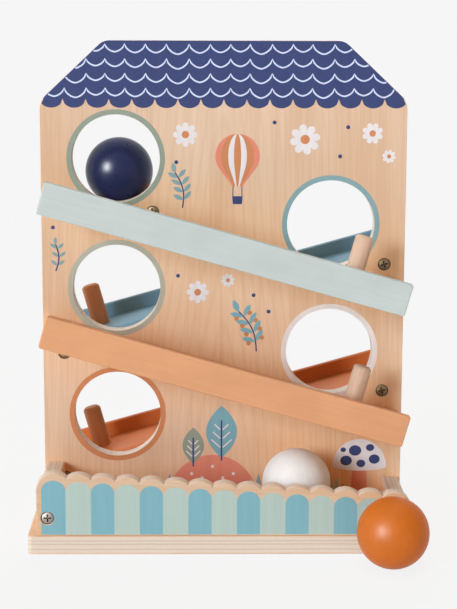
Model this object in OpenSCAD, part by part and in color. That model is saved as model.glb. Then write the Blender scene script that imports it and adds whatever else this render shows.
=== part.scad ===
// Wooden ball run: a house-shaped panel with round holes stands on a base board.
// Sloped ramps on both faces of the panel lead a ball from hole to hole into a tray.
// Millimetres, +Z up, front towards -Y, origin at the middle of the base board's underside.

/* [Back panel] */
// Width of the panel
panel_w = 239; // [226:1:248]
// Thickness of the panel
panel_t = 12; // [9:0.5:18]
// Height of the panel above the base board
panel_h = 309.5; // [304:0.5:340]
// Width of each sloped shoulder, across
shoulder_w = 41.5; // [30:0.5:60]
// Height of each sloped shoulder
shoulder_h = 39; // [25:0.5:50]
// Rounding of the lower end of a shoulder
shoulder_r = 13; // [2:0.5:20]
// Rounding of the upper end of a shoulder
ridge_r = 10; // [2:0.5:20]

/* [Ball holes] */
// Diameter of a ball hole
hole_d = 57.6; // [54:0.2:62]
// Distance of each column of holes from the middle
hole_x = 70.5; // [66:0.5:76]
// Height of the lowest hole's centre above the base board
hole_low = 62.4; // [60:0.2:70]
// Drop from one hole to the next
hole_step = 42.7; // [41:0.1:45]

/* [Base board] */
// Strip of base board outside the panel's side, at each end
base_margin = 5.2; // [3:0.1:20]
// Depth of the base board
base_d = 153.6; // [146:0.2:180]
// Thickness of the base board
base_t = 12; // [9:0.5:18]
// Rounding of the base board's corners, seen from above
base_r = 3; // [1:0.5:10]

/* [Tray] */
// Step of the front fence's ends inside the panel's sides
fence_step = 0.5; // [0:0.25:4]
// Thickness of the front fence
fence_t = 9; // [6:0.5:12]
// Height of the fence's first scallop above the base board
crest_left = 41; // [32:0.2:48]
// Height of the fence's last scallop above the base board
crest_right = 28.4; // [24:0.2:40]
// Number of scallops along the fence
scallops = 15; // [9:1:21]
// Rise of a scallop above the valleys beside it
scallop_rise = 2.9; // [1:0.1:4]
// Plain strip outside the scallops at each end of the fence
fence_margin = 3.5; // [2:0.5:6]
// Thickness of the side walls
wall_t = 12; // [9:0.5:15]
// Distance of a side wall's outer face from the fence's end
wall_inset = 1; // [0:0.5:3]
// Height of the left side wall above the base board
wall_left_h = 29.6; // [22:0.2:36]
// Height of the right side wall above the base board
wall_right_h = 19.2; // [18:0.2:26]
// Rounding of a side wall's top edges
wall_edge_r = 1.5; // [0.5:0.5:3]

/* [Ramps] */
// Gap between a ramp's end and the panel's side, taken over both ends
ramp_gap = 3.5; // [2:0.25:8]
// Slope of the ramps in degrees
ramp_slope = 15.7; // [14.5:0.1:16.5]
// Distance of a ramp's middle from the panel's middle, downhill
ramp_shift = 1.2; // [0:0.2:4]
// Width of a ramp's floor, from the panel to the rail
floor_w = 47; // [46:0.5:52]
// Thickness of a ramp's floor
floor_t = 12; // [10:0.5:15]
// Thickness of a ramp's rail
rail_t = 6; // [4:0.5:9]
// Height of a rail above the floor
rail_lip = 9; // [6:0.5:12]
// Rounding of a rail's corners
rail_r = 1.5; // [1:0.5:5]
// Height of a ramp's floor above the edge of the hole that it leads to
exit_step = 1.1; // [0.5:0.1:2]

/* [Pegs] */
// Diameter of a stop peg
peg_d = 12; // [9:0.5:14]
// Height of a peg above the ramp's floor
peg_h = 28; // [18:0.5:34]
// Depth of a peg's seat in the floor
peg_seat = 8; // [5:0.5:9]
// Distance of a peg's axis from the panel
peg_from_panel = 27; // [20:0.5:32]
// Distance of a peg past the middle of its hole, along the slope
peg_past_hole = 13.2; // [8:0.2:18]
// Bevel at the top of a peg
peg_bevel = 1.5; // [0.5:0.25:3]
// Gap around a peg in its seat
peg_fit = 0.05; // [0.02:0.01:0.1]

/* [Start ledge] */
// Length of the start ledge along its slope
ledge_len = 66; // [56:1:80]
// Width of the start ledge, out from the panel
ledge_w = 47; // [38:0.5:52]
// Thickness of the start ledge
ledge_t = 12; // [10:0.5:15]
// Drop of the ledge below the edge of the top hole
ledge_drop = 5.5; // [3:0.5:8]
// Distance of the ledge's middle from the hole's middle, uphill
ledge_shift = 6; // [0:0.5:10]

/* [Balls] */
// Diameter of a ball
ball_d = 45; // [40:0.5:45.5]
// Gap left between a ball and what it touches
ball_gap = 0.3; // [0.1:0.05:0.6]
// Place of the starting ball on the ledge, uphill of the hole's middle
navy_uphill = 7.5; // [4:0.5:12]
// Place of the tray ball, to the right of the middle
white_x = 48; // [-60:1:60]
// Distance of the tray ball's centre from the panel
white_from_panel = 27.5; // [24:0.1:36]
// Place of the ball on the table, to the right of the middle
orange_x = 104.3; // [-80:0.1:105]
// Gap between the ball on the table and the fence
orange_gap = 4.9; // [0.1:0.1:10]

/* [Screws] */
// Diameter of a screw's shank
screw_d = 4; // [3:0.25:5]
// Diameter of a screw's head
head_d = 8.4; // [7:0.2:9.5]
// Height of a screw head's dome
head_dome = 0.8; // [0.4:0.1:1.2]
// Length of the screws through the panel and the fence
screw_len = 38; // [30:1:44]
// Length of the screws from below into the tray
tray_screw_len = 22; // [20:1:26]
// Width of the cross in a screw's head
cross_w = 1; // [0.6:0.1:1.4]
// Length of the cross in a screw's head
cross_len = 5; // [4:0.1:6]
// Gap around a screw in its hole
screw_fit = 0.05; // [0.02:0.01:0.1]
// Distance of a ramp's screws from its ends
ramp_screw_inset = 10.5; // [8:0.5:16]
// Distance of the ledge's screws from its ends
ledge_screw_inset = 16; // [8:0.5:20]
// Depth of the ledge's screws below its top
ledge_screw_drop = 7.2; // [4:0.1:7.5]
// Height of the fence's screws above the base board
fence_screw_h = 11.6; // [8:0.2:13]
// Depth of the screw heads below the faces that they are driven into
head_sink = 1.2; // [1.2:0.1:2]
// Spacing of the screws that hold the panel on the base board
panel_screw_gap = 60; // [40:1:70]
// Spacing of the screws that hold the fence on the base board
fence_screw_gap = 80; // [40:1:120]

/* [Hidden] */

// Curve quality, and the steps of an arc in an outline
$fn = 96;
arc_steps = 10;
// Cuts run this far past a surface, so that no thin skin is left
over = 1;

// Colours of the wood, the paint, the lacquered balls and the metal
wood = [0.87, 0.72, 0.58];
aqua = [0.77, 0.82, 0.80];
apricot = [0.86, 0.62, 0.45];
teal = [0.36, 0.58, 0.66];
rust = [0.80, 0.42, 0.20];
bronze = [0.42, 0.34, 0.22];
silver = [0.72, 0.72, 0.72];

// Places worked out from the sizes
base_w = panel_w + 2 * base_margin;
fence_w = panel_w - 2 * fence_step;
ramp_len = (panel_w - 2 * ramp_gap) / cos(ramp_slope);
panel_front = -panel_t / 2;
panel_back = panel_t / 2;
tray_front = -base_d / 2;
fence_back = tray_front + fence_t;
hole_r = hole_d / 2;
ball_r = ball_d / 2;
last_hole = 4;

// The holes are counted from the top, left and right by turns
function hole_side(k) = k % 2 == 0 ? -1 : 1;
function hole_z(k) = base_t + hole_low + hole_step * (last_hole - k);

// The ramp that leads to hole k is on the front for the right holes and on the back for the left
function ramp_turn(k) = hole_side(k) > 0 ? 0 : 180;
ramp_mid = -(hole_x - ramp_shift) / cos(ramp_slope);
ramp_screws = [for (end = [-1, 1]) ramp_mid + end * (ramp_len / 2 - ramp_screw_inset)];
ledge_screw_places = [for (end = [-1, 1]) -ledge_shift + end * (ledge_len / 2 - ledge_screw_inset)];

// The scallops of the fence
scallop_pitch = (fence_w - 2 * fence_margin) / scallops;
crest_slope = (crest_right - crest_left) / (scallop_pitch * (scallops - 1));
end_scallop_r = scallop_pitch / 2 + fence_margin;
scallop_r = (pow(scallop_pitch / 2, 2) + pow(scallop_rise, 2)) / (2 * scallop_rise);
function scallop_x(i) = scallop_pitch * (i - (scallops - 1) / 2);
function crest_h(i) = crest_left + crest_slope * scallop_pitch * i;

// Side walls and the screws that line up with them
wall_mid = fence_w / 2 - wall_inset - wall_t / 2;
wall_len = panel_front - fence_back;
wall_screw_y = panel_front - wall_len / 4;
panel_screws = 4;
fence_mid_y = tray_front + fence_t / 2;

// The starting ball rests on the ledge and leans on the lower edge of the top hole
navy_x = hole_x - navy_uphill * cos(ramp_slope) + (ball_r + ball_gap) * sin(ramp_slope);
navy_z = hole_z(0) - hole_r - ledge_drop + navy_uphill * sin(ramp_slope)
         + (ball_r + ball_gap) * cos(ramp_slope);
navy_off_axis = norm([navy_x - hole_x, navy_z - hole_z(0)]);
navy_behind = sqrt(pow(ball_r + ball_gap, 2) - pow(hole_r - navy_off_axis, 2));

// Points of an arc about c, from angle a by turn
function arc(c, r, a, turn) = [for (i = [0 : arc_steps]) c + r * [cos(a + turn * i / arc_steps),
                                                                 sin(a + turn * i / arc_steps)]];

// A corner at b, between the edges from a and to c, rounded by r on a left turn
function unit(v) = v / norm(v);
function left_of(v) = [-v.y, v.x];
function corner(a, b, c, r) =
    let (into = unit(b - a), out = unit(c - b))
    let (turn = atan2(cross(into, out), into * out))
    arc(b - into * r * tan(turn / 2) + left_of(into) * r, r, atan2(-into.x, into.y), turn);

// A closed outline that turns left at every point, with a rounding for each point
function rounded(p, r) = [for (i = [0 : len(p) - 1])
    each r[i] > 0 ? corner(p[(i + len(p) - 1) % len(p)], p[i], p[(i + 1) % len(p)], r[i]) : [p[i]]];

function box_points(w, h) = [[-w / 2, -h / 2], [w / 2, -h / 2], [w / 2, h / 2], [-w / 2, h / 2]];

// An upright board: its outline in X and Z, from y_front back by its thickness
module board(y_front, t) {
    translate([0, y_front + t, 0]) rotate([90, 0, 0]) linear_extrude(t) children();
}

// The frame of the ramp that leads to hole k: the floor's top under the hole's middle,
// on the panel's face, with X downhill and -Y away from the panel
module ramp_frame(k) {
    rotate([0, 0, ramp_turn(k)])
        translate([hole_x, panel_front, hole_z(k) - hole_r + exit_step])
            rotate([0, ramp_slope, 0]) children();
}

// The frame of the start ledge, behind the top hole
module ledge_frame() {
    rotate([0, 0, 180])
        translate([hole_x, panel_front, hole_z(0) - hole_r - ledge_drop])
            rotate([0, ramp_slope, 0]) children();
}

// Places for the screws of ramp k and of the ledge, on the panel's other face
module at_ramp_screws(k) {
    ramp_frame(k) for (x = ramp_screws)
        translate([x, panel_t - head_sink, -floor_t / 2]) rotate([-90, 0, 0]) children();
}

module at_ledge_screws() {
    ledge_frame() for (x = ledge_screw_places)
        translate([x, panel_t - head_sink, -ledge_screw_drop]) rotate([-90, 0, 0]) children();
}

// Places for the screws of the fence and for those from below
module at_fence_screws() {
    for (side = [-1, 1])
        translate([side * wall_mid, tray_front + head_sink, base_t + fence_screw_h])
            rotate([90, 0, 0]) children();
}

module at_panel_base_screws() {
    for (i = [0 : panel_screws - 1])
        translate([(i - (panel_screws - 1) / 2) * panel_screw_gap, 0, head_sink])
            rotate([180, 0, 0]) children();
}

module at_tray_base_screws() {
    for (side = [-1, 1]) {
        translate([side * wall_mid, wall_screw_y, head_sink]) rotate([180, 0, 0]) children();
        translate([side * fence_screw_gap / 2, fence_mid_y, head_sink]) rotate([180, 0, 0]) children();
    }
}

// A countersunk screw along Z: the head's rim at z = 0, the dome above, the shank below
module wood_screw(length) {
    cone = (head_d - screw_d) / 2;
    tip = screw_d;
    dome_r = (pow(head_d / 2, 2) + pow(head_dome, 2)) / (2 * head_dome);
    dome_angle = asin(head_d / 2 / dome_r);
    dome = [for (i = [0 : arc_steps])
        [dome_r * sin(dome_angle * i / arc_steps),
         head_dome - dome_r * (1 - cos(dome_angle * i / arc_steps))]];
    difference() {
        rotate_extrude()
            polygon(concat(dome, [[screw_d / 2, -cone], [screw_d / 2, tip - length], [0, -length]]));
        for (turn = [0, 90]) rotate(turn)
            translate([-cross_len / 2, -cross_w / 2, -head_dome])
                cube([cross_len, cross_w, 2 * head_dome + over]);
    }
}

// The hole that such a screw goes into, open above its head
module screw_hole(length) {
    cone = (head_d - screw_d) / 2;
    rim = head_d / 2 + screw_fit;
    translate([0, 0, -length - screw_fit]) cylinder(d = screw_d + 2 * screw_fit, h = length + over);
    translate([0, 0, -cone]) cylinder(r1 = screw_d / 2 + screw_fit, r2 = rim, h = cone);
    cylinder(r = rim, h = head_sink + over);
}

// Fixed boards
module back_panel() {
    half = panel_w / 2;
    outline = [[-half, 0], [half, 0], [half, panel_h - shoulder_h], [half - shoulder_w, panel_h],
               [shoulder_w - half, panel_h], [-half, panel_h - shoulder_h]];
    color(wood) difference() {
        translate([0, 0, base_t]) board(panel_front, panel_t)
            polygon(rounded(outline, [0, 0, shoulder_r, ridge_r, ridge_r, shoulder_r]));
        for (k = [0 : last_hole])
            translate([hole_side(k) * hole_x, panel_back + over, hole_z(k)]) rotate([90, 0, 0])
                cylinder(r = hole_r, h = panel_t + 2 * over);
        for (k = [1 : last_hole]) at_ramp_screws(k) screw_hole(screw_len);
        at_ledge_screws() screw_hole(screw_len);
        at_panel_base_screws() screw_hole(screw_len);
    }
}

module base_board() {
    corners = [base_r, base_r, base_r, base_r];
    color(wood) difference() {
        linear_extrude(base_t) polygon(rounded(box_points(base_w, base_d), corners));
        at_panel_base_screws() screw_hole(screw_len);
        at_tray_base_screws() screw_hole(tray_screw_len);
    }
}

// The fence's outline: an end scallop falls to the fence's end in a quarter circle,
// and the others are arcs between valleys at the same depth below the sloped crest
function end_valley() = asin(scallop_pitch / 2 / end_scallop_r);
function half_scallop() = asin(scallop_pitch / 2 / scallop_r);
function below_crest(i, r) = [scallop_x(i), crest_h(i) - r];
function scallop_arc(i) =
    i == 0 ? arc(below_crest(i, end_scallop_r), end_scallop_r, 90 - end_valley(), 90 + end_valley())
    : i == scallops - 1 ? arc(below_crest(i, end_scallop_r), end_scallop_r, 0, 90 + end_valley())
    : arc(below_crest(i, scallop_r), scallop_r, 90 - half_scallop(), 2 * half_scallop());

module front_fence() {
    crest = [for (i = [scallops - 1 : -1 : 0]) each scallop_arc(i)];
    color(wood) difference() {
        translate([0, 0, base_t]) board(tray_front, fence_t)
            polygon(concat([[-fence_w / 2, 0], [fence_w / 2, 0]], crest));
        at_fence_screws() screw_hole(screw_len);
        at_tray_base_screws() screw_hole(tray_screw_len);
    }
}

module side_wall(side, h) {
    outline = [[-wall_t / 2, 0], [wall_t / 2, 0], [wall_t / 2, h], [-wall_t / 2, h]];
    color(wood) difference() {
        translate([side * wall_mid, 0, base_t]) board(fence_back, wall_len)
            polygon(rounded(outline, [0, 0, wall_edge_r, wall_edge_r]));
        at_fence_screws() screw_hole(screw_len);
        at_tray_base_screws() screw_hole(tray_screw_len);
    }
}

module left_side_wall() { side_wall(-1, wall_left_h); }
module right_side_wall() { side_wall(1, wall_right_h); }

// Ramps: a floor against the panel, a rail along its outer edge and a stop peg
module ramp_floor(k, paint) {
    color(paint) difference() {
        ramp_frame(k) difference() {
            translate([ramp_mid - ramp_len / 2, -floor_w, -floor_t]) cube([ramp_len, floor_w, floor_t]);
            translate([peg_past_hole, -peg_from_panel, -peg_seat])
                cylinder(d = peg_d + 2 * peg_fit, h = peg_seat + over);
        }
        at_ramp_screws(k) screw_hole(screw_len);
    }
}

module ramp_rail(k, paint) {
    rail_h = rail_lip + floor_t;
    corners = [rail_r, rail_r, rail_r, rail_r];
    color(paint) ramp_frame(k) translate([ramp_mid, 0, rail_lip - rail_h / 2])
        board(-floor_w - rail_t, rail_t) polygon(rounded(box_points(ramp_len, rail_h), corners));
}

module ramp_peg(k) {
    top = peg_d / 2 - peg_bevel;
    color(wood) ramp_frame(k) translate([peg_past_hole, -peg_from_panel, -peg_seat]) rotate_extrude()
        polygon([[0, 0], [peg_d / 2, 0], [peg_d / 2, peg_seat + peg_h - peg_bevel],
                 [top, peg_seat + peg_h], [0, peg_seat + peg_h]]);
}

module upper_front_floor() { ramp_floor(1, aqua); }
module upper_front_rail() { ramp_rail(1, aqua); }
module upper_front_peg() { ramp_peg(1); }
module upper_back_floor() { ramp_floor(2, teal); }
module upper_back_rail() { ramp_rail(2, teal); }
module upper_back_peg() { ramp_peg(2); }
module lower_front_floor() { ramp_floor(3, apricot); }
module lower_front_rail() { ramp_rail(3, apricot); }
module lower_front_peg() { ramp_peg(3); }
module lower_back_floor() { ramp_floor(4, rust); }
module lower_back_rail() { ramp_rail(4, rust); }
module lower_back_peg() { ramp_peg(4); }

module start_ledge() {
    color(wood) difference() {
        ledge_frame() translate([-ledge_shift - ledge_len / 2, -ledge_w, -ledge_t])
            cube([ledge_len, ledge_w, ledge_t]);
        at_ledge_screws() screw_hole(screw_len);
    }
}

// Screws, in groups that hold the same thing
module front_ramp_screws() { color(bronze) for (k = [1, 3]) at_ramp_screws(k) wood_screw(screw_len); }
module back_ramp_screws() { color(bronze) for (k = [2, 4]) at_ramp_screws(k) wood_screw(screw_len); }
module ledge_screws() { color(bronze) at_ledge_screws() wood_screw(screw_len); }
module fence_screws() { color(silver) at_fence_screws() wood_screw(screw_len); }
module panel_base_screws() { color(silver) at_panel_base_screws() wood_screw(screw_len); }
module tray_base_screws() { color(silver) at_tray_base_screws() wood_screw(tray_screw_len); }

// Balls: one on the start ledge, one in the tray and one on the table in front of the tray
module navy_ball() {
    color([0.16, 0.18, 0.34]) translate([-navy_x, panel_back + navy_behind, navy_z]) sphere(d = ball_d);
}

module white_ball() {
    color([0.91, 0.89, 0.87])
        translate([white_x, panel_front - white_from_panel, base_t + ball_r + ball_gap]) sphere(d = ball_d);
}

module orange_ball() {
    color([0.87, 0.46, 0.20])
        translate([orange_x, tray_front - ball_r - orange_gap, ball_r]) sphere(d = ball_d);
}

back_panel();
base_board();
front_fence();
left_side_wall();
right_side_wall();
upper_front_floor();
upper_front_rail();
upper_front_peg();
upper_back_floor();
upper_back_rail();
upper_back_peg();
lower_front_floor();
lower_front_rail();
lower_front_peg();
lower_back_floor();
lower_back_rail();
lower_back_peg();
start_ledge();
front_ramp_screws();
back_ramp_screws();
ledge_screws();
fence_screws();
panel_base_screws();
tray_base_screws();
navy_ball();
white_ball();
orange_ball();
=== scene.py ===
import math
import random

import bpy
from mathutils import Matrix, Vector


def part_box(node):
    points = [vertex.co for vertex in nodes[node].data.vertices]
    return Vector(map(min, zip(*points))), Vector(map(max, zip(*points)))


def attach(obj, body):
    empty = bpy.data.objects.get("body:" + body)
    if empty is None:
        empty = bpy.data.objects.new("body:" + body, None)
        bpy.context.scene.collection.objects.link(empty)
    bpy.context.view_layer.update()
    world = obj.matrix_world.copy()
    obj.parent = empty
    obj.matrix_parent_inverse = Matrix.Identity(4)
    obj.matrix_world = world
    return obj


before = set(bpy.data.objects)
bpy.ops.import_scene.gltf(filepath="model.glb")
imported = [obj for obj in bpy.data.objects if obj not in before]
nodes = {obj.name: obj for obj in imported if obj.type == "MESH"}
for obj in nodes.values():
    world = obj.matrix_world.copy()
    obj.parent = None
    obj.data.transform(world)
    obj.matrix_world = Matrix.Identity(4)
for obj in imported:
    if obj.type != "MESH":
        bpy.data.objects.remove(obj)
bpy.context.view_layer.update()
scene = bpy.context.scene
scene.view_settings.view_transform = "Standard"

MM = 0.001
X, Y, Z = 0, 1, 2


def box_mm(name):
    """Lowest and highest corner of a CAD node in millimetres."""
    low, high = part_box(name)
    return low / MM, high / MM


# Places on the toy in millimetres, in the frame of the CAD model
panel_low, panel_high = box_mm("back_panel")
fence_low, fence_high = box_mm("front_fence")
screws_low, screws_high = box_mm("fence_screws")
BASE_TOP = box_mm("base_board")[1].z
PANEL_HALF = panel_high.x
PANEL_TOP = panel_high.z
PANEL_FRONT = panel_low.y
SHOULDER_W = 41.5
SHOULDER_H = 39.0
SHOULDER_R = 13.0
RIDGE_R = 10.0
HOLE_R = 28.8
HOLE_X = 70.5
HOLE_TOP_Z = 245.2
HOLE_STEP = 42.7
SLOPE = math.radians(15.7)
FENCE_FRONT = fence_low.y
SCALLOPS = 15
SCALLOP_PITCH = 15.4
CREST_FIRST = fence_high.z
CREST_FALL = 12.6
SCREW_R = (screws_high.z - screws_low.z) / 2
SCREW_X = screws_high.x - SCREW_R
SCREW_Z = screws_low.z + SCREW_R


def srgb(red, green, blue):
    """A colour from 0 to 255 as the eye sees it, as linear numbers for a shader."""
    parts = (red / 255, green / 255, blue / 255)
    return tuple(c / 12.92 if c <= 0.04045 else ((c + 0.055) / 1.055) ** 2.4 for c in parts) + (1.0,)


def shade(colour, factor):
    """A colour made darker or lighter."""
    return tuple(c * factor for c in colour[:3]) + (1.0,)


# Colours of wood, paint, lacquer, metal and print
WOOD_DARK = srgb(217, 181, 150)
WOOD_MID = srgb(227, 197, 170)
WOOD_LIGHT = srgb(232, 206, 181)
PLY_PALE = srgb(227, 214, 199)
PLY_LINE = srgb(206, 184, 162)
# Plies on the panel's edges: pale plywood, made paler still as painted light on the hole walls lit from
# behind
PANEL_EDGE_PAINTED_LIGHT = srgb(240, 232, 222)
FRONT_PEG = srgb(224, 190, 164)
# Pegs behind the panel: a darker copy of the peg colour, which is painted shade
BACK_PEG_PAINTED_SHADE = srgb(196, 138, 101)
AQUA = srgb(194, 205, 203)
TEAL = srgb(114, 152, 172)
APRICOT = srgb(220, 162, 120)
RUST = srgb(208, 118, 64)
NAVY = srgb(30, 38, 77)
WHITE = srgb(244, 247, 246)
ORANGE = srgb(202, 107, 31)
BRONZE = srgb(142, 120, 92)
ZINC = srgb(146, 137, 131)
# Dark colour of the painted shade in the screws' recesses
RECESS_PAINTED_SHADE = srgb(48, 38, 30)
PALE = srgb(246, 246, 246)
# Each print's colour and its material slot
PRINTS = {
    "navy": (srgb(63, 74, 119), "navy_lacquer"),
    "white": (srgb(232, 227, 229), "white_lacquer"),
    "frost": (srgb(211, 221, 250), "white_lacquer"),
    "blue": (srgb(128, 178, 190), "teal_paint"),
    "sage": (srgb(178, 199, 192), "aqua_paint"),
    "green": (srgb(150, 161, 147), "aqua_paint"),
    "moss": (srgb(185, 184, 167), "aqua_paint"),
    "rust": (srgb(208, 138, 94), "rust_paint"),
    "salmon": (srgb(226, 141, 119), "apricot_paint"),
    "teal": (srgb(136, 169, 174), "teal_paint"),
    "blush": (srgb(237, 226, 221), "white_lacquer"),
}
# Tints of veneer on a board's faces
PLAIN = (1.0, 1.0, 1.0, 1.0)
FENCE_TINT = (0.9, 0.9, 0.88, 1.0)
# Painted bounce light and shade: warm tints of veneer in deep corners, where most light comes from other
# wood; the base's is milder
CORNER_PAINTED_BOUNCE = (1.22, 1.0, 0.74, 1.0)
BASE_CORNER_PAINTED_BOUNCE = (1.0, 0.9, 0.8, 1.0)

# Middle of a noise, where most of its values lie: a wide and a narrow stretch
NOISE_WIDE = (0.3, 0.7)
NOISE_NARROW = (0.35, 0.65)


class Recipe:
    """A node tree under construction. Most calls add a node and return its output."""

    def __init__(self, owner):
        owner.use_nodes = True
        self.owner = owner
        self.tree = owner.node_tree
        self.shader = self.tree.nodes.get("Principled BSDF")

    def node(self, kind, inputs, **settings):
        added = self.tree.nodes.new("ShaderNode" + kind)
        for key, value in settings.items():
            setattr(added, key, value)
        for key, value in inputs.items():
            self.feed(added.inputs[key], value)
        return added

    def feed(self, socket, value):
        if isinstance(value, bpy.types.NodeSocket):
            self.tree.links.new(value, socket)
        else:
            socket.default_value = value

    def surface(self, **inputs):
        """Sets the shader's sockets by name."""
        for key, value in inputs.items():
            label = key.replace("_", " ").title().replace("Ior", "IOR")
            self.feed(self.shader.inputs[label], value)
        return self.owner

    def math(self, operation, first, second=0.0):
        return self.node("Math", {0: first, 1: second}, operation=operation).outputs[0]

    def add(self, value, weight, rest):
        """A value times its weight, added to the rest."""
        return self.node("Math", {0: value, 1: weight, 2: rest}, operation="MULTIPLY_ADD").outputs[0]

    def blend(self, parts):
        """Weighted sum of values."""
        total = 0.0
        for weight, value in parts:
            total = self.add(value, weight, total)
        return total

    def fit(self, value, low, high, to_low=0.0, to_high=1.0):
        """Stretches one range of a value to another."""
        ends = {"Value": value, "From Min": low, "From Max": high, "To Min": to_low, "To Max": to_high}
        return self.node("MapRange", ends).outputs[0]

    def spread(self, noise, low, high):
        """Stretches the middle of a noise to a range."""
        return self.fit(noise, *NOISE_WIDE, low, high)

    def ramp(self, factor, stops):
        ramp = self.node("ValToRGB", {"Fac": factor})
        elements = ramp.color_ramp.elements
        while len(elements) < len(stops):
            elements.new(0.5)
        for element, (place, colour) in zip(elements, stops):
            element.position = place
            element.color = colour
        return ramp.outputs[0]

    def mottle(self, noise, colour, tones):
        """A colour that a noise makes darker and lighter."""
        return self.ramp(noise, [(place, shade(colour, tone)) for place, tone in zip(NOISE_NARROW, tones)])

    def mix(self, factor, first, second):
        return self.node("Mix", {0: factor, 6: first, 7: second}, data_type="RGBA").outputs[2]

    def multiply(self, factor, first, second):
        parts = {0: factor, 6: first, 7: second}
        return self.node("Mix", parts, data_type="RGBA", blend_type="MULTIPLY").outputs[2]

    def bump(self, height, distance):
        return self.node("Bump", {"Height": height, "Distance": distance}).outputs[0]

    def part(self, vector, axis):
        return self.node("SeparateXYZ", {"Vector": vector}).outputs[axis]

    def place(self, tilt=0.0):
        """The object's own coordinates, turned about Y so that a sloped piece lies level."""
        coords = self.node("TexCoord", {}).outputs["Object"]
        return self.node("Mapping", {"Vector": coords, "Rotation": (0.0, tilt, 0.0)}).outputs[0]

    def normal(self, tilt=0.0):
        """The surface's direction, turned in the same way."""
        normal = self.node("TexCoord", {}).outputs["Normal"]
        turn = {"Vector": normal, "Rotation": (0.0, tilt, 0.0)}
        return self.node("Mapping", turn, vector_type="VECTOR").outputs[0]

    def noise(self, kind, axis=X, tilt=0.0):
        """A noise drawn out along one axis. Its kind is the squeeze along that axis, scale and detail."""
        squeeze, scale, detail = kind
        scales = tuple(squeeze if i == axis else 1.0 for i in range(3))
        vector = self.node("Mapping", {"Vector": self.place(tilt), "Scale": scales}).outputs[0]
        return self.node("TexNoise", {"Vector": vector, "Scale": scale, "Detail": detail}).outputs[0]

    def corner(self, reach, shut, wide, most, **settings):
        """A share that is greatest in deep corners and nothing in the open."""
        openness = self.node("AmbientOcclusion", {"Distance": reach}, **settings).outputs["AO"]
        return self.fit(openness, shut, wide, most, 0.0)


def new_material(name):
    return Recipe(bpy.data.materials.new(name))


def span(name, axis, tilt):
    """Lowest and highest place of a node along an axis, after the turn about Y."""
    turn = Matrix.Rotation(tilt, 3, "Y")
    places = [(turn @ v.co)[axis] for v in nodes[name].data.vertices]
    return min(places), max(places)


# Sheen of bare wood and print, and depths of relief in metres
MATTE = 0.07
FIBRE_DEPTH = 0.00005
PAINT_DEPTH = 0.00004
SCRATCH_DEPTH = 0.00003

# Veneer: noises with their shares of its figure, and the tone's change for a metre across
BROAD = (0.25, 26.0, 3.0)
STREAKS = (0.03, 160.0, 4.0)
FIBRES = (0.02, 900.0, 2.0)
BROAD_SHARE = 0.45
STREAK_SHARE = 0.3
FIBRE_SHARE = 0.25
SIDE_TONE = -0.9
WOOD_STOPS = [(0.34, WOOD_DARK), (0.48, WOOD_MID), (0.62, WOOD_LIGHT)]
WOOD_ROUGH = (0.5, 0.62)
# Growth lines of the wood: radians of phase for a metre along the grain, for a metre across to
# the power below, and for the noise that makes them wander
ARCH_ALONG = 130.0
ARCH_ACROSS = 4500.0
ARCH_POWER = 1.5
ARCH_WANDER = 34.0
WANDER = (0.2, 16.0, 2.0)
# Height of the wave where a growth line starts, and the line's share at its darkest
ARCH_FROM = 0.3
ARCH_SHARE = 0.3
# Painted bounce light and shade in deep corners: how far surfaces count as close, in metres, and the openness
# of shut and open ones
CORNER_REACH = 0.06
CORNER_SHUT = 0.25
CORNER_WIDE = 0.92
CORNER_SAMPLES = 8
# Plywood's edge, in shares of its thickness: outer veneers, glue lines and their waves
VENEER = 0.1
VENEER_BLEND = 0.03
GLUE_LINES = (0.26, 0.54, 0.72)
GLUE_REACH = 0.05
GLUE_WAVE = 0.012
PLY_WAVE = (1.0, 60.0, 2.0)
PLY_GRIT = (1.0, 1400.0, 2.0)
PLY_GRIT_SHARE = 0.25
# How squarely a surface faces along the board's thickness where veneer starts, and how far it may
# turn from the front where the roof's print ends
FACE_FROM = 0.8
ROOF_WRAP = -0.15


def maple(look, grain, thick, tilt):
    """Maple: soft streaks along the grain, and faint growth lines that close in long arches."""
    broad = look.noise(BROAD, grain, tilt)
    streaks = look.noise(STREAKS, grain, tilt)
    fibres = look.noise(FIBRES, grain, tilt)
    level = look.place(tilt)
    across = look.math("ABSOLUTE", look.part(level, X + Y + Z - grain - thick))
    figure = look.blend([(BROAD_SHARE, broad), (STREAK_SHARE, streaks), (FIBRE_SHARE, fibres),
                         (SIDE_TONE, across)])
    tone = look.ramp(figure, WOOD_STOPS)
    phase = look.blend([(ARCH_ALONG, look.part(level, grain)),
                        (ARCH_ACROSS, look.math("POWER", across, ARCH_POWER)),
                        (ARCH_WANDER, look.noise(WANDER, grain, tilt))])
    lines = look.fit(look.math("SINE", phase), ARCH_FROM, 1.0, 0.0, ARCH_SHARE)
    return look.mix(lines, tone, WOOD_DARK), fibres


def plies(look, name, thick, tilt, pale):
    """Edge of plywood: pale plies with glue lines between them."""
    height = look.fit(look.part(look.place(tilt), thick), *span(name, thick, tilt))
    wave = look.spread(look.noise(PLY_WAVE, X, tilt), -1.0, 1.0)
    layer = look.add(wave, GLUE_WAVE, height)
    stops = [(0.0, WOOD_DARK), (VENEER - VENEER_BLEND, WOOD_LIGHT), (VENEER, pale)]
    for line in GLUE_LINES:
        stops += [(line - GLUE_REACH, pale), (line, PLY_LINE), (line + GLUE_REACH, pale)]
    stops += [(1.0 - VENEER, pale), (1.0 - VENEER + VENEER_BLEND, WOOD_LIGHT), (1.0, WOOD_DARK)]
    grit = look.spread(look.noise(PLY_GRIT, X, tilt), 0.0, PLY_GRIT_SHARE)
    return look.mix(grit, look.ramp(layer, stops), PLY_LINE)


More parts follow.
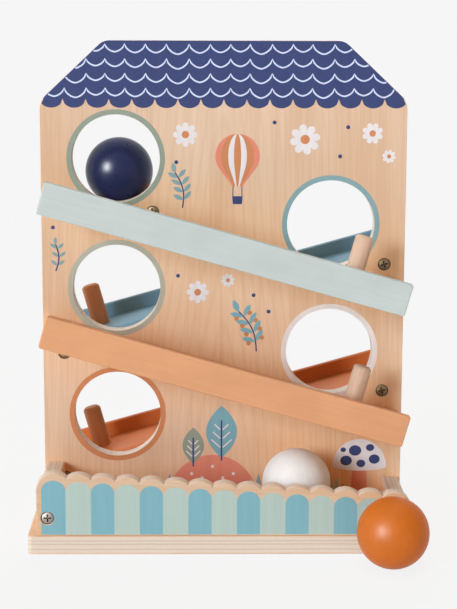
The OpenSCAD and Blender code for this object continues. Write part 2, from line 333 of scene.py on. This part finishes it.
def wood(name, grain, thick, tilt=0.0, tint=PLAIN, corner=CORNER_PAINTED_BOUNCE, pale=PLY_PALE, roof_from=None):
    """A board's finish: veneer on its faces, with a tint and painted bounce light and shade in its deep
    corners, and plies on its edges.
    """
    look = new_material(name + "_wood")
    veneer, fibres = maple(look, grain, thick, tilt)
    # Painted bounce light and shade: the veneer takes a warm tint in deep corners
    closed = look.corner(CORNER_REACH, CORNER_SHUT, CORNER_WIDE, 1.0, samples=CORNER_SAMPLES)
    veneer = look.multiply(1.0, look.multiply(closed, veneer, corner), tint)
    facing = look.math("ABSOLUTE", look.part(look.normal(tilt), thick))
    on_face = look.math("GREATER_THAN", facing, FACE_FROM)
    colour = look.mix(on_face, plies(look, name, thick, tilt, pale), veneer)
    if roof_from is not None:
        front = look.math("LESS_THAN", look.part(look.normal(), Y), ROOF_WRAP)
        high_up = look.math("GREATER_THAN", look.part(look.place(), Z), roof_from * MM)
        colour = look.mix(look.math("MULTIPLY", front, high_up), colour, PRINTS["navy"][0])
    return look.surface(base_color=colour, roughness=look.spread(fibres, *WOOD_ROUGH),
                        specular_ior_level=MATTE, normal=look.bump(fibres, FIBRE_DEPTH))


# Paint on the ramps
PAINT_FIBRES = (0.04, 700.0, 2.0)
PAINT_CLOUD = (1.0, 45.0, 3.0)
PAINT_FIBRE_SHARE = 0.4
PAINT_TONES = (0.96, 1.04)
PAINT_ROUGH = (0.45, 0.55)
FLOOR_GLOSS = 0.28
RAIL_GLOSS = 0.05


def paint(name, colour, tilt, gloss):
    """Satin paint through which the wood's fibres show a little."""
    look = new_material(name)
    fibres = look.noise(PAINT_FIBRES, X, tilt)
    cloud = look.noise(PAINT_CLOUD, X, tilt)
    both = look.blend([(PAINT_FIBRE_SHARE, fibres), (1.0 - PAINT_FIBRE_SHARE, cloud)])
    return look.surface(base_color=look.mottle(both, colour, PAINT_TONES),
                        roughness=look.spread(cloud, *PAINT_ROUGH), specular_ior_level=gloss,
                        normal=look.bump(fibres, PAINT_DEPTH))


# Bare wood of the pegs
PEG_FIBRES = (0.05, 500.0, 3.0)
PEG_FLECKS = (0.2, 1300.0, 1.0)
PEG_TONES = (0.9, 1.07)
PEG_ROUGH = (0.5, 0.6)
FLECK_SHARE = 0.2
FLECK_TONE = 0.75


def dowel(name, colour, tilt):
    """Bare beech with fine pores along the peg."""
    look = new_material(name)
    fibres = look.noise(PEG_FIBRES, Z, tilt)
    flecks = look.spread(look.noise(PEG_FLECKS, Z, tilt), 0.0, FLECK_SHARE)
    tone = look.mix(flecks, look.mottle(fibres, colour, PEG_TONES), shade(colour, FLECK_TONE))
    return look.surface(base_color=tone, roughness=look.spread(fibres, *PEG_ROUGH),
                        specular_ior_level=MATTE, normal=look.bump(fibres, FIBRE_DEPTH))


# Lacquer on the balls
BALL_CLOUD = (1.0, 40.0, 3.0)
BALL_GRAIN = (0.15, 420.0, 2.0)
BALL_GRAIN_SHARE = 0.3
BALL_TONES = (0.94, 1.06)
BALL_ROUGH = 0.02


def lacquer(name, colour, roughness, gloss, pores):
    """Lacquer on a turned ball: a soft sheen over faint clouds of colour, and pores along the grain."""
    look = new_material(name)
    cloud = look.noise(BALL_CLOUD)
    grain = look.noise(BALL_GRAIN, Z)
    both = look.blend([(1.0 - BALL_GRAIN_SHARE, cloud), (BALL_GRAIN_SHARE, grain)])
    relief = look.blend([(1.0, cloud), (pores, grain)])
    return look.surface(base_color=look.mottle(both, colour, BALL_TONES),
                        roughness=look.spread(grain, roughness - BALL_ROUGH, roughness + BALL_ROUGH),
                        specular_ior_level=gloss, normal=look.bump(relief, PAINT_DEPTH))


# Plating on the screws
SCRATCHES = (1.0, 900.0, 3.0)
PLATE_TONES = (0.75, 1.0)
WORN_SMOOTH = 0.08
WORN_ROUGH = 0.1
# Painted shade in the screws' cross and under their rims: reach, openness of shut and open places, and
# darkest share
RECESS_SHADE_REACH = 0.0016
RECESS_SHADE_SHUT = 0.35
RECESS_SHADE_WIDE = 0.8
RECESS_SHADE_MOST = 0.92


def plating(name, colour, roughness):
    """Plated steel with small scratches, and painted shade that darkens the cross and under the rim."""
    look = new_material(name)
    wear = look.noise(SCRATCHES)
    recess_shade = look.corner(RECESS_SHADE_REACH, RECESS_SHADE_SHUT, RECESS_SHADE_WIDE, RECESS_SHADE_MOST)
    tone = look.mix(recess_shade, look.mottle(wear, colour, PLATE_TONES), RECESS_PAINTED_SHADE)
    rough = look.spread(wear, roughness - WORN_SMOOTH, roughness + WORN_ROUGH)
    return look.surface(base_color=tone, metallic=1.0, roughness=rough, normal=look.bump(wear, SCRATCH_DEPTH))


# Ink on the boards
INK_STREAKS = (0.04, 300.0, 3.0)
INK_GRIT = (1.0, 1500.0, 2.0)
INK_GRIT_SHARE = 0.3
INK_TONES = (0.96, 1.04)
INK_ROUGH = (0.5, 0.6)


def ink(name, colour):
    """Print on veneer: the grain comes through as faint streaks."""
    look = new_material(name)
    streaks = look.noise(INK_STREAKS, Z)
    grit = look.noise(INK_GRIT)
    both = look.blend([(1.0 - INK_GRIT_SHARE, streaks), (INK_GRIT_SHARE, grit)])
    return look.surface(base_color=look.mottle(both, colour, INK_TONES),
                        roughness=look.spread(streaks, *INK_ROUGH), specular_ior_level=MATTE,
                        normal=look.bump(streaks, PAINT_DEPTH))


# Softening of edges in millimetres, its steps, and the angle from which an edge is softened
PANEL_BEVEL = 0.3
BASE_BEVEL = 0.25
FENCE_BEVEL = 0.7
WALL_BEVEL = 0.5
LEDGE_BEVEL = 0.8
FLOOR_BEVEL = 0.6
RAIL_BEVEL = 0.9
BEVEL_STEPS = 3
BEVEL_FROM = math.radians(60)
# Distance in millimetres within which points of a mesh become one
WELD_WITHIN = 0.01


def dress(name, material, bevel=0.0):
    """Gives a CAD node its material, and softens its edges without touching its mesh."""
    thing = nodes[name]
    thing.data.materials.clear()
    thing.data.materials.append(material)
    weld = thing.modifiers.new("weld", "WELD")
    weld.merge_threshold = WELD_WITHIN * MM
    if bevel:
        edge = thing.modifiers.new("edge", "BEVEL")
        edge.width = bevel * MM
        edge.segments = BEVEL_STEPS
        edge.limit_method = "ANGLE"
        edge.angle_limit = BEVEL_FROM
        edge.use_clamp_overlap = False
        edge.loop_slide = False
        edge.harden_normals = True


# Boards and painted ramps
ROOF_CUSP = 284.0
# The panel's edges take plies made paler as painted light
dress("back_panel", wood("back_panel", Z, Y, pale=PANEL_EDGE_PAINTED_LIGHT, roof_from=ROOF_CUSP), PANEL_BEVEL)
# The base's corners take a milder painted bounce light and shade
dress("base_board", wood("base_board", X, Z, corner=BASE_CORNER_PAINTED_BOUNCE), BASE_BEVEL)
dress("front_fence", wood("front_fence", X, Y, tint=FENCE_TINT), FENCE_BEVEL)
dress("left_side_wall", wood("left_side_wall", Y, X), WALL_BEVEL)
dress("right_side_wall", wood("right_side_wall", Y, X), WALL_BEVEL)
dress("start_ledge", wood("start_ledge", X, Z, SLOPE), LEDGE_BEVEL)
# Back pegs take the darker peg colour, which is painted shade
RAMPS = (("upper_front", AQUA, FRONT_PEG, -SLOPE), ("upper_back", TEAL, BACK_PEG_PAINTED_SHADE, SLOPE),
         ("lower_front", APRICOT, FRONT_PEG, -SLOPE), ("lower_back", RUST, BACK_PEG_PAINTED_SHADE, SLOPE))
for ramp, colour, peg_colour, tilt in RAMPS:
    dress(ramp + "_floor", paint(ramp + "_floor_paint", colour, tilt, FLOOR_GLOSS), FLOOR_BEVEL)
    dress(ramp + "_rail", paint(ramp + "_rail_paint", colour, tilt, RAIL_GLOSS), RAIL_BEVEL)
    dress(ramp + "_peg", dowel(ramp + "_dowel", peg_colour, tilt))

# Screws by their plating, with its colour and roughness
SCREWS = (("bronze", BRONZE, 0.44, ("front_ramp_screws", "back_ramp_screws", "ledge_screws")),
          ("zinc", ZINC, 0.56, ("fence_screws", "panel_base_screws", "tray_base_screws")))
for metal, colour, roughness, names in SCREWS:
    plated = plating(metal + "_plating", colour, roughness)
    for name in names:
        dress(name, plated)

# Balls, each with its colour, roughness, gloss and depth of pores
BALLS = (("navy", NAVY, 0.29, 0.22, 0.1), ("white", WHITE, 0.5, 0.02, 0.05),
         ("orange", ORANGE, 0.43, 0.19, 2.5))
for name, colour, roughness, gloss, pores in BALLS:
    dress(name + "_ball", lacquer(name + "_lacquer", colour, roughness, gloss, pores))

# Prints: each stands off the wood by a skin for every layer
inks = {name: ink(name + "_ink", pair[0]) for name, pair in PRINTS.items()}
SKIN = 0.04


def print_on(name, front, loops, colour, layer=1):
    """A thin print on an upright face, from closed outlines in X and Z. One inside another is a gap."""
    curve = bpy.data.curves.new(name, "CURVE")
    curve.dimensions = "2D"
    curve.fill_mode = "BOTH"
    curve.extrude = SKIN * layer * MM
    for loop in loops:
        spline = curve.splines.new("POLY")
        spline.points.add(len(loop) - 1)
        for point, (x, z) in zip(spline.points, loop):
            point.co = (x * MM, z * MM, 0.0, 1.0)
        spline.use_cyclic_u = True
    draft = bpy.data.objects.new(name + "_draft", curve)
    scene.collection.objects.link(draft)
    filled = draft.evaluated_get(bpy.context.evaluated_depsgraph_get())
    mesh = bpy.data.meshes.new_from_object(filled)
    bpy.data.objects.remove(draft)
    mesh.name = name
    upright = Matrix.Rotation(math.pi / 2, 4, "X")
    mesh.transform(Matrix.Translation((0.0, front * MM, 0.0)) @ upright)
    mesh.materials.clear()
    mesh.materials.append(inks[colour])
    piece = bpy.data.objects.new(name, mesh)
    scene.collection.objects.link(piece)
    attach(piece, "ball_run")


def arc(x, z, rx, rz, start=0.0, end=360.0, steps=48):
    """Points of an ellipse's arc, with angles in degrees. A whole turn leaves out the last point."""
    count = steps if end - start >= 360 else steps + 1
    turns = [math.radians(start + (end - start) * i / steps) for i in range(count)]
    return [(x + rx * math.cos(a), z + rz * math.sin(a)) for a in turns]


def dot(x, z, radius):
    return arc(x, z, radius, radius, steps=20)


def placed(outline, x, z, turn=0.0):
    """An outline turned by degrees and moved."""
    c = math.cos(math.radians(turn))
    s = math.sin(math.radians(turn))
    return [(x + u * c - v * s, z + u * s + v * c) for u, v in outline]


def strip(path, width):
    """A band of even width along a path."""
    sides = ([], [])
    for i, point in enumerate(path):
        before, after = path[max(i - 1, 0)], path[min(i + 1, len(path) - 1)]
        dx, dz = after[0] - before[0], after[1] - before[1]
        size = math.hypot(dx, dz)
        for side, sign in zip(sides, (1, -1)):
            side.append((point[0] - sign * dz / size * width / 2, point[1] + sign * dx / size * width / 2))
    return sides[0] + sides[1][::-1]


def fillet(before, at, after, radius, steps=10):
    """Points of a rounded corner."""
    into = (Vector(at) - Vector(before)).normalized()
    out = (Vector(after) - Vector(at)).normalized()
    reach = radius * math.tan(into.angle(out) / 2)
    start, end = Vector(at) - into * reach, Vector(at) + out * reach
    bend = []
    for i in range(steps + 1):
        t = i / steps
        bend.append(tuple(start.lerp(Vector(at), t).lerp(Vector(at).lerp(end, t), t)))
    return bend


def hanging(x0, x1, cusp, depth, bulge, steps=12):
    """Points of an arc that hangs between two cusps, without the second cusp."""
    points = []
    for j in range(steps):
        t = j / steps
        drop = depth * (1 - abs(2 * t - 1) ** bulge) ** (1 / bulge)
        points.append((x0 + (x1 - x0) * t, cusp - drop))
    return points


def inside(point, loop):
    """True where a point lies inside a closed outline."""
    x, z = point
    hit = False
    for (x0, z0), (x1, z1) in zip(loop, loop[1:] + loop[:1]):
        if (z0 > z) != (z1 > z) and x < x0 + (z - z0) / (z1 - z0) * (x1 - x0):
            hit = not hit
    return hit


# Roof: a field up to the panel's edges, with a scalloped hem that bows a little
HEM_SCALLOPS = 16
HEM_DEPTH = 5.9
HEM_BOW = 0.2
HEM_BULGE = 2.0
half = PANEL_HALF - PANEL_BEVEL
top = PANEL_TOP - PANEL_BEVEL
eave = (half, PANEL_TOP - SHOULDER_H)
ridge = (PANEL_HALF - SHOULDER_W, top)
right_side = fillet((half, 0), eave, ridge, SHOULDER_R) + fillet(eave, ridge, (0, top), RIDGE_R)
left_side = [(-x, z) for x, z in reversed(right_side)]
outline = [(-half, 0), (half, 0)] + right_side + left_side
hem_pitch = 2 * PANEL_HALF / HEM_SCALLOPS
hem = []
for i in range(HEM_SCALLOPS):
    left = -PANEL_HALF + hem_pitch * i
    cusp = ROOF_CUSP + HEM_BOW * (left / PANEL_HALF) ** 2
    hem += hanging(left, left + hem_pitch, cusp, HEM_DEPTH, HEM_BULGE)
hem = [p for p in hem if inside(p, outline)]
roof = hem + [p for p in right_side + left_side if p[1] > ROOF_CUSP]
print_on("roof_field", PANEL_FRONT, [roof], "navy")

# Tile lines on the roof, with cusps that stray from an even pitch; a wide tile hangs deeper
TILE_ROWS = 4
TILE_TOP = 319.1
TILE_STEP = 9.4
TILE_FIRST = -129.6
TILE_PITCH = 13.35
TILE_JITTER = 1.5
TILE_SEED = 4151
TILE_COUNT = 20
TILE_DEPTH = 5.3
TILE_SAG = 0.75
TILE_BULGE = 1.6
TILE_LINE = 1.0
SHORTEST_RUN = 7
HALVINGS = 10


def on_roof(point):
    """True where a tile line keeps its whole width on the roof."""
    return inside((point[0], point[1] + TILE_LINE / 2), roof)


def roof_edge(first, second):
    """The last place on the roof between a point on it and a point off it, by halving."""
    inner, outer = (first, second) if on_roof(first) else (second, first)
    for i in range(HALVINGS):
        middle = ((inner[0] + outer[0]) / 2, (inner[1] + outer[1]) / 2)
        if on_roof(middle):
            inner = middle
        else:
            outer = middle
    return inner


def runs_on_roof(line):
    """The stretches of a line that lie on the roof, without those of too few points."""
    runs = [[]]
    for before, point in zip(line, line[1:]):
        if on_roof(before) != on_roof(point):
            runs[-1].append(roof_edge(before, point))
        if on_roof(point):
            runs[-1].append(point)
        elif runs[-1]:
            runs.append([])
    return [run for run in runs if len(run) >= SHORTEST_RUN]


chance = random.Random(TILE_SEED)
strays = [chance.uniform(-TILE_JITTER, TILE_JITTER) for i in range(TILE_COUNT)]
cusps = [TILE_FIRST + TILE_PITCH * i + stray for i, stray in enumerate(strays)]
for row in range(TILE_ROWS):
    line = []
    for a, b in zip(cusps, cusps[1:]):
        depth = TILE_DEPTH + TILE_SAG * (b - a - TILE_PITCH)
        line += hanging(a, b, TILE_TOP - TILE_STEP * row, depth, TILE_BULGE)
    bands = [strip(run, TILE_LINE) for run in runs_on_roof(line)]
    print_on("roof_tile_line_%d" % (row + 1), PANEL_FRONT, bands, "frost", 2)

# Rings round the holes
RING_IN = HOLE_R + 0.05
RING_W = 3.3
RING_STEPS = 96
for k, colour in enumerate(("green", "teal", "moss", "blush", "rust")):
    x = HOLE_X if k % 2 else -HOLE_X
    z = HOLE_TOP_Z - HOLE_STEP * k
    circles = [arc(x, z, radius, radius, steps=RING_STEPS) for radius in (RING_IN + RING_W, RING_IN)]
    print_on("hole_ring_%d" % (k + 1), PANEL_FRONT, circles, colour)

# Stripes on the fence, each with an arched top; the outer sides of the first and the last bend
# round the fence's screws
STRIPE_DROP = 4.7
STRIPE_RISE = 6.4
STRIPE_NARROW = 0.35
STRIPE_END = 0.6
STRIPE_FOOT = BASE_TOP + 0.9
STRIPE_STEPS = 24
SCREW_GAP = SCREW_R + 0.3
for i in range(SCALLOPS):
    x = SCALLOP_PITCH * (i - (SCALLOPS - 1) / 2)
    crest = CREST_FIRST - CREST_FALL * i / (SCALLOPS - 1)
    reach = SCALLOP_PITCH / 2 + (STRIPE_NARROW if i % 2 else -STRIPE_NARROW)
    left, right = x - reach, x + reach
    if i == 0:
        left -= STRIPE_END
    if i == SCALLOPS - 1:
        right += STRIPE_END
    spring = crest - STRIPE_DROP - STRIPE_RISE
    stripe = arc((left + right) / 2, spring, (right - left) / 2, STRIPE_RISE, 0, 180, STRIPE_STEPS)
    if i == 0:
        bend = math.degrees(math.acos((left + SCREW_X) / SCREW_GAP))
        stripe += arc(-SCREW_X, SCREW_Z, SCREW_GAP, SCREW_GAP, bend, -bend, STRIPE_STEPS)
    stripe += [(left, STRIPE_FOOT), (right, STRIPE_FOOT)]
    if i == SCALLOPS - 1:
        bend = math.degrees(math.acos((right - SCREW_X) / SCREW_GAP))
        stripe += arc(SCREW_X, SCREW_Z, SCREW_GAP, SCREW_GAP, 360 - bend, bend, STRIPE_STEPS)
    print_on("fence_stripe_%d" % (i + 1), FENCE_FRONT, [stripe], "sage" if i % 2 else "blue")

# Meadow decor on the panel
PETALS = 8
PETAL_ROOT = 0.62
PETAL_BLUNT = 0.6
LEAF_BLUNT = 0.85


def daisy(radius, steps=96):
    """A flower's outline about its middle."""
    turns = [2 * math.pi * i / steps for i in range(steps)]
    swells = [abs(math.cos(PETALS * a / 2)) ** PETAL_BLUNT for a in turns]
    reach = [radius * (PETAL_ROOT + (1 - PETAL_ROOT) * swell) for swell in swells]
    return [(d * math.cos(a), d * math.sin(a)) for d, a in zip(reach, turns)]


def leaf(length, width, steps=14):
    """A pointed leaf that stands on its tip."""
    shares = [i / steps for i in range(steps + 1)]
    rims = [(width / 2 * math.sin(math.pi * t) ** LEAF_BLUNT, length * t) for t in shares]
    return rims + [(-x, z) for x, z in rims[-2:0:-1]]


# Sprigs, in shares of their length: the stem's bend, where the first and the last pair of leaves
# grow, leaves as length and width, the same for the leaf at the tip, and a berry's place
SPRIG_BEND = 0.12
SPRIG_FIRST = 0.22
SPRIG_LAST = 0.84
SPRIG_LEAF = (0.3, 0.12)
SPRIG_TIP = (0.3, 0.13)
SPRIG_TIP_AT = 0.97
BERRY_OUT = 0.16
BERRY_UP = 0.02
# Sprigs, in millimetres and degrees: stem, gap from stem to leaf, leaf's turn and berry
SPRIG_STEM = 0.9
SPRIG_GAP = 0.3
SPRIG_TURN = 52
BERRY_R = 1.5
STEM_STEPS = 16


def sprig(name, x, z, length, turn, pairs, colour, berry=None):
    """A bent stem with leaves in pairs, and berries between them if a colour is given."""
    def on_stem(share):
        return length * SPRIG_BEND * math.sin(math.pi * share), length * share

    def grown(loops):
        return [placed(loop, x, z, turn) for loop in loops]

    stem = strip([on_stem(i / STEM_STEPS) for i in range(STEM_STEPS + 1)], SPRIG_STEM)
    paired = leaf(*(length * share for share in SPRIG_LEAF))
    leaves, berries = [], []
    for i in range(pairs):
        u, v = on_stem(SPRIG_FIRST + (SPRIG_LAST - SPRIG_FIRST) * i / (pairs - 1))
        for side in (-1, 1):
            leaves.append(placed(paired, u - side * SPRIG_GAP, v, side * SPRIG_TURN))
            berries.append(dot(u + side * length * BERRY_OUT, v + length * BERRY_UP, BERRY_R))
    tip = leaf(*(length * share for share in SPRIG_TIP))
    leaves.append(placed(tip, 0, length * SPRIG_TIP_AT))
    print_on(name + "_stem", PANEL_FRONT, grown([stem]), "navy")
    print_on(name + "_leaves", PANEL_FRONT, grown(leaves), colour, 2)
    if berry:
        print_on(name + "_berries", PANEL_FRONT, grown(berries), berry, 3)


DAISIES = ((-25, 261, 8.0), (53, 258, 10.0), (97, 262, 7.0), (108, 247, 4.5), (-17, 157, 7.5), (3, 165, 4.5))
DAISY_TURN = 11
DAISY_HEART = 0.3
flowers = [placed(daisy(radius), x, z, DAISY_TURN * i) for i, (x, z, radius) in enumerate(DAISIES)]
hearts = [arc(x, z, radius * DAISY_HEART, radius * DAISY_HEART) for x, z, radius in DAISIES]
print_on("daisies", PANEL_FRONT, flowers, "white")
print_on("daisy_hearts", PANEL_FRONT, hearts, "rust", 2)
DOTS = ((-31, 243), (33, 269), (76, 247), (81, 266), (-30, 168), (20, 155), (-112, 200), (30, 144))
DOT_R = 1.3
print_on("dots", PANEL_FRONT, [dot(x, z, DOT_R) for x, z in DOTS], "navy")
sprig("upper_sprig", -27, 213, 24, 12, 4, "teal")
sprig("side_sprig", -110.5, 171, 18, 0, 3, "teal")
sprig("middle_sprig", 22, 117, 30, 24, 4, "blue", "rust")

# Hot-air balloon: its gores from the widest to the narrowest, and a basket on ropes
BALLOON_X, BALLOON_Z = 9.0, 247.0
BALLOON_R = 14.5
BALLOON_OPEN = 28
BALLOON_STEPS = 40
NECK = 3.2
NECK_Z = -BALLOON_R * 1.36
BASKET_HEAD, BASKET_FOOT = 3.4, 3.0
BASKET_TOP, BASKET_LOW = -26.2, -31.4
ROPE_TOP, ROPE_FOOT = (NECK * 0.9, NECK_Z), (3.0, -26.3)
ROPE_W = 0.6
GORES = (("outer", 1.0, "salmon"), ("middle", 0.74, "rust"),
         ("inner", 0.42, "white"), ("centre", 0.16, "rust"))
envelope = arc(0, 0, BALLOON_R, BALLOON_R, -BALLOON_OPEN, 180 + BALLOON_OPEN, BALLOON_STEPS)
envelope += [(-NECK, NECK_Z), (NECK, NECK_Z)]
for i, (name, width, colour) in enumerate(GORES):
    gore = [(BALLOON_X + u * width, BALLOON_Z + v) for u, v in envelope]
    print_on("balloon_gore_" + name, PANEL_FRONT, [gore], colour, i + 1)
basket = [(-BASKET_HEAD, BASKET_TOP), (BASKET_HEAD, BASKET_TOP),
          (BASKET_FOOT, BASKET_LOW), (-BASKET_FOOT, BASKET_LOW)]
ropes = [strip([(side * u, v) for u, v in (ROPE_TOP, ROPE_FOOT)], ROPE_W) for side in (-1, 1)]
hung = [placed(loop, BALLOON_X, BALLOON_Z) for loop in [basket] + ropes]
print_on("balloon_basket", PANEL_FRONT, hung, "navy")

# Hill with specks
GROUND = BASE_TOP + 1.0
HILL_X, HILL_W, HILL_TOP = -7.0, 31.0, 46.0
SPECKS = ((-14, 5), (0, 0), (14, 5), (-7, 8), (7, 8), (-20, 13), (20, 13))
SPECK_TOP = HILL_TOP - 8.0
SPECK_R = 1.1
print_on("hill", PANEL_FRONT, [arc(HILL_X, GROUND, HILL_W, HILL_TOP - GROUND, 0, 180)], "salmon")
specks = [dot(HILL_X + dx, SPECK_TOP - dz, SPECK_R) for dx, dz in SPECKS]
print_on("hill_specks", PANEL_FRONT, specks, "white", 2)

# Leaf-shaped trees on the hill: shares of their height, and root, gap and widths in millimetres
TREES = (("tall", -1.0, 44.0, 36.0, "blue"), ("short", -20.0, 40.0, 25.0, "green"))
TREE_W = 0.58
TRUNK_ROOT = 2
TRUNK_TOP = 0.72
TRUNK_W = 1.0
RIB_PAIRS = 3
RIB_FIRST, RIB_STEP = 0.2, 0.17
RIB_REACH, RIB_SHRINK = 0.19, 0.03
RIB_LIFT = 0.8
RIB_GAP = 0.8
RIB_W = 0.8
for name, x, z, size, colour in TREES:
    print_on(name + "_tree", PANEL_FRONT, [placed(leaf(size, size * TREE_W), x, z)], colour, 2)
    trunk = strip([(x, z - TRUNK_ROOT), (x, z + size * TRUNK_TOP)], TRUNK_W)
    print_on(name + "_tree_trunk", PANEL_FRONT, [trunk], "navy", 3)
    ribs = []
    for i in range(RIB_PAIRS):
        rise = z + size * (RIB_FIRST + RIB_STEP * i)
        reach = size * (RIB_REACH - RIB_SHRINK * i)
        for side in (-1, 1):
            ends = [(x + side * RIB_GAP, rise), (x + side * reach, rise + reach * RIB_LIFT)]
            ribs.append(strip(ends, RIB_W))
    print_on(name + "_tree_ribs", PANEL_FRONT, ribs, "white", 3)

# Spotted toadstool
CAP_X, CAP_Z, CAP_R = 92.0, 38.0, 18.0
CAP_RISE = CAP_R * 1.05
CAP_BELLY = 3.0
STALK_HEAD, STALK_FOOT = 4.5, 6.0
SPOTS = ((-9, 4, 3.4), (1, 2, 2.6), (10, 5, 3.2), (-3, 11, 3.6), (7, 13, 2.4), (-11, 11.5, 1.6))
SPOT_WIDE = 1.15
stalk = [(CAP_X - STALK_HEAD, CAP_Z), (CAP_X - STALK_FOOT, GROUND),
         (CAP_X + STALK_FOOT, GROUND), (CAP_X + STALK_HEAD, CAP_Z)]
print_on("toadstool_stem", PANEL_FRONT, [stalk], "salmon")
cap = arc(CAP_X, CAP_Z, CAP_R, CAP_RISE, 0, 180) + arc(CAP_X, CAP_Z, CAP_R, CAP_BELLY, 180, 360)[1:-1]
print_on("toadstool_cap", PANEL_FRONT, [cap], "white", 2)
spots = [arc(CAP_X + dx, CAP_Z + dz, size * SPOT_WIDE, size) for dx, dz, size in SPOTS]
print_on("toadstool_spots", PANEL_FRONT, spots, "navy", 3)

# Tufts of grass
TUFTS = (-36, 24, 72)
BLADES = (-2, -1, 0, 1, 2)
BLADE_H, BLADE_FALL = 20, 3
BLADE_W = 3.4
BLADE_STEP, BLADE_LEAN = 2.6, 9
for i, x in enumerate(TUFTS):
    for k, b in enumerate(BLADES):
        blade = leaf(BLADE_H - BLADE_FALL * abs(b), BLADE_W)
        blade = placed(blade, x + BLADE_STEP * b, GROUND, -BLADE_LEAN * b)
        colour = "sage" if k % 2 else "teal"
        print_on("grass_%d_%d" % (i + 1, k + 1), PANEL_FRONT, [blade], colour, 3 + k % 2)

# Camera at the photograph's place
PHOTO_HEIGHT = 609
FOCAL_PIXELS = 1700.0
SENSOR = 36.0
CAMERA_AT = Vector((-14.6, -1114.9, 344.3)) * MM
YAW, PITCH, ROLL = (math.radians(a) for a in (0.93, 10.0, 0.19))
lens = bpy.data.cameras.new("camera")
lens.sensor_width = SENSOR
lens.lens = FOCAL_PIXELS * SENSOR / PHOTO_HEIGHT
camera = bpy.data.objects.new("camera", lens)
ahead = Vector((math.sin(YAW) * math.cos(PITCH), math.cos(YAW) * math.cos(PITCH), -math.sin(PITCH)))
level = Vector((math.cos(YAW), -math.sin(YAW), 0.0))
rise = level.cross(ahead)
right = math.cos(ROLL) * level + math.sin(ROLL) * rise
rise = -math.sin(ROLL) * level + math.cos(ROLL) * rise
camera.matrix_world = Matrix.Translation(CAMERA_AT) @ Matrix((right, rise, -ahead)).transposed().to_4x4()
scene.collection.objects.link(camera)
scene.camera = camera


# Floor and world: pale where they are seen, plain light for the object
def seen(look):
    """1 where the camera, a reflection or clear glass looks straight at this surface."""
    path = look.node("LightPath", {}).outputs
    either = look.math("MAXIMUM", path["Is Camera Ray"], path["Is Glossy Ray"])
    return look.math("MAXIMUM", either, path["Is Transmission Ray"])


# Floor's half width, and the distances between which its own glow grows, in metres
FLOOR_HALF = 20.0
NEAR, FAR = 0.15, 0.7
GLOW_NEAR, GLOW_FAR = 0.92, 1.0
corners = [(u * FLOOR_HALF, v * FLOOR_HALF, 0) for u, v in ((-1, -1), (1, -1), (1, 1), (-1, 1))]
floor_mesh = bpy.data.meshes.new("floor")
floor_mesh.from_pydata(corners, [], [(0, 1, 2, 3)])
floor = bpy.data.objects.new("floor", floor_mesh)
scene.collection.objects.link(floor)
look = new_material("floor_look")
look.tree.nodes.clear()
matte = look.node("BsdfDiffuse", {"Color": PALE}).outputs[0]
glow = look.node("Emission", {"Color": PALE}).outputs[0]
distance = look.node("VectorMath", {0: look.place()}, operation="LENGTH").outputs["Value"]
share = look.math("MULTIPLY", seen(look), look.fit(distance, NEAR, FAR, GLOW_NEAR, GLOW_FAR))
mixed = look.node("MixShader", {0: share, 1: matte, 2: glow}).outputs[0]
look.node("OutputMaterial", {"Surface": mixed})
floor_mesh.materials.append(look.owner)

# World's colours in front of the toy and behind it, and how far its strength falls towards +X
WORLD_FRONT = (0.47, 0.265, 0.125, 1.0)
WORLD_BACK = (0.47, 0.44, 0.41, 1.0)
WORLD_FALL = 0.4
scene.world = bpy.data.worlds.new("studio")
look = Recipe(scene.world)
look.tree.nodes.clear()
direction = look.node("TexCoord", {}).outputs["Generated"]
tone = look.mix(look.fit(look.part(direction, Y), -1.0, 1.0), WORLD_FRONT, WORLD_BACK)
strength = look.add(look.part(direction, X), -WORLD_FALL, 1.0)
light = look.node("Background", {"Color": tone, "Strength": strength}).outputs[0]
backdrop = look.node("Background", {"Color": PALE, "Strength": 1.0}).outputs[0]
mixed = look.node("MixShader", {0: seen(look), 1: light, 2: backdrop}).outputs[0]
look.node("OutputWorld", {"Surface": mixed})

# Lamps: turn from the front and lift in degrees, distance, width and height in metres
KEY_PLACE = {"turn": -42, "lift": 16.5, "distance": 12.0, "width": 3.6, "height": 4.4}
TOP_PLACE = {"turn": 0, "lift": 78, "distance": 3.0, "width": 1.2, "height": 1.2}
BACK_PLACE = {"turn": 180, "lift": 42, "distance": 3.0, "width": 1.2, "height": 1.2}
NEUTRAL = (1.0, 1.0, 1.0)
COOL = (0.82, 1.02, 1.18)
HINT_OF_BLUE = (0.92, 1.0, 1.06)
AIM = Vector((0.0, 0.0, 0.15))


def softbox(name, turn, lift, distance, width, height, watts, tint=NEUTRAL, lit=True, mirrored=True):
    """An area lamp that faces the toy's middle. It lights surfaces, shows in them as a gleam, or both."""
    side, up = math.radians(turn), math.radians(lift)
    away = Vector((math.sin(side) * math.cos(up), -math.cos(side) * math.cos(up), math.sin(up)))
    lamp = bpy.data.lights.new(name, "AREA")
    lamp.shape = "RECTANGLE"
    lamp.size = width
    lamp.size_y = height
    lamp.energy = watts
    lamp.color = tint
    box = bpy.data.objects.new(name, lamp)
    box.location = AIM + away * distance
    box.rotation_euler = (-away).to_track_quat("-Z", "Y").to_euler()
    box.visible_camera = False
    box.visible_diffuse = lit
    box.visible_glossy = mirrored
    scene.collection.objects.link(box)


softbox("key", **KEY_PLACE, watts=870.0, tint=COOL)
softbox("gleam", **KEY_PLACE, watts=3400.0, lit=False)
softbox("top", **TOP_PLACE, watts=25.0, tint=HINT_OF_BLUE, mirrored=False)
softbox("back", **BACK_PLACE, watts=40.0, mirrored=False)
